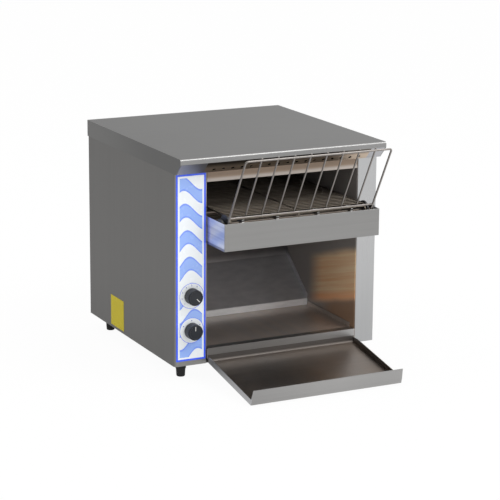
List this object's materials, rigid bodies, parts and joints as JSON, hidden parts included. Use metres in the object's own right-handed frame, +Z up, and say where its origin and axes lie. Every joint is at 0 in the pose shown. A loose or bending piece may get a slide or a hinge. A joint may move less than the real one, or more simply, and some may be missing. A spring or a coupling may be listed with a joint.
{
  "type": "conveyor toaster",
  "caption": "Counter-top conveyor toaster: sheet steel body with a wire belt, leaning wire feed rack, rear chute, discharge tray, chain drive, fan and two dial controls.",
  "frame": {"origin": "centre of the bounding box seen from above, on the surface that the feet stand on", "axes": "+X to the right seen from the front, +Y to the back, +Z up; the belt carries bread along +Y"},
  "size_m": [0.399, 0.5788, 0.4136],
  "materials": {
    "stainless": "brushed",
    "bright_stainless": "brushed",
    "bay_steel": "heat-tinted, polished",
    "rack_wire": "plated",
    "belt_wire": "heat-tinted",
    "shaft_steel": "ground",
    "sprocket_steel": "oiled",
    "black_plastic": "moulded",
    "knob_plastic": "moulded",
    "dark_steel": "black",
    "bronze": "sintered",
    "gearbox_alloy": "cast",
    "motor_paint": "satin",
    "plated_screw": "zinc plated",
    "element_sheath": "heat-tinted",
    "ceramic": "unglazed",
    "board_green": "lacquered",
    "white_plastic": "moulded",
    "pot_case": "moulded",
    "overlay_film": "printed",
    "label_film": "printed",
    "foot_rubber": "moulded"
  },
  "bodies": {
    "root": {"top_cover": "stainless", "header_plate": "stainless", "left_side_panel": "stainless", "right_side_panel": "bright_stainless", "back_panel": "stainless", "base_pan": "stainless", "left_inner_wall": "bay_steel", "right_inner_wall": "bay_steel", "upper_reflector": "bay_steel", "chamber_deck": "bay_steel", "rear_chute": "bay_steel", "holding_floor": "bay_steel", "infeed_box": "stainless", "rack_sockets": "dark_steel", "conveyor_belt": "belt_wire", "idler_bearings": "black_plastic", "shaft_bushes": "bronze", "drive_chain": "sprocket_steel", "motor_gearbox": "gearbox_alloy", "motor_can": "motor_paint", "motor_screws": "plated_screw", "upper_elements": "element_sheath", "lower_elements": "element_sheath", "element_insulators": "ceramic", "fan_frame": "black_plastic", "fan_guard": "rack_wire", "fan_screws": "plated_screw", "speed_board": "board_green", "board_spacers": "white_plastic", "speed_pot": "pot_case", "selector_switch": "black_plastic", "panel_nuts": "plated_screw", "limit_thermostat": "black_plastic", "terminal_block": "white_plastic", "cord_gland": "black_plastic", "gland_locknut": "black_plastic", "control_overlay": "overlay_film", "side_label": "label_film", "rubber_feet": "foot_rubber", "foot_screws": "plated_screw", "cover_screws": "plated_screw", "back_screws": "plated_screw"},
    "drive_axle": {"drive_shaft": "shaft_steel", "drive_sprockets": "sprocket_steel", "driven_chain_wheel": "sprocket_steel", "shaft_collars": "shaft_steel"},
    "idler_axle": {"idler_shaft": "shaft_steel", "idler_sprockets": "sprocket_steel", "guide_discs": "black_plastic"},
    "motor_rotor": {"motor_shaft": "shaft_steel", "motor_chain_wheel": "sprocket_steel"},
    "fan_rotor": {"fan_impeller": "black_plastic"},
    "speed_dial": {"speed_knob": "knob_plastic", "pot_shaft": "shaft_steel"},
    "selector_dial": {"selector_knob": "knob_plastic", "selector_shaft": "shaft_steel"},
    "rack": {"feed_rack": "rack_wire"},
    "tray": {"discharge_tray": "stainless"}
  },
  "joints": [
    {"name": "drive_spin", "type": "hinge", "parent": "root", "child": "drive_axle", "pos_m": [0, 0.18391, 0.285], "axis": [1, 0, 0], "continuous": true},
    {"name": "idler_spin", "type": "hinge", "parent": "root", "child": "idler_axle", "pos_m": [0, -0.15706, 0.285], "axis": [1, 0, 0], "continuous": true},
    {"name": "motor_spin", "type": "hinge", "parent": "root", "child": "motor_rotor", "pos_m": [0, 0.2181, 0.09114], "axis": [1, 0, 0], "continuous": true},
    {"name": "fan_spin", "type": "hinge", "parent": "root", "child": "fan_rotor", "pos_m": [0.09, 0.26944, 0.1], "axis": [0, 1, 0], "continuous": true},
    {"name": "speed_turn", "type": "hinge", "parent": "root", "child": "speed_dial", "pos_m": [-0.1655, -0.11056, 0.153], "axis": [0, 1, 0], "range_deg": [-270, 0]},
    {"name": "selector_turn", "type": "hinge", "parent": "root", "child": "selector_dial", "pos_m": [-0.1655, -0.11056, 0.091], "axis": [0, 1, 0], "range_deg": [-60, 60]},
    {"name": "rack_lift", "type": "slide", "parent": "root", "child": "rack", "axis": [0, 0, 1], "range_m": [0, 0.06]},
    {"name": "tray_lift", "type": "slide", "parent": "root", "child": "tray", "axis": [0, 0, 1], "range_m": [0, 0.05]}
  ],
  "couplings": [
    {"joint": "idler_spin", "follows": "drive_spin", "ratio": 1},
    {"joint": "motor_spin", "follows": "drive_spin", "ratio": 1}
  ]
}
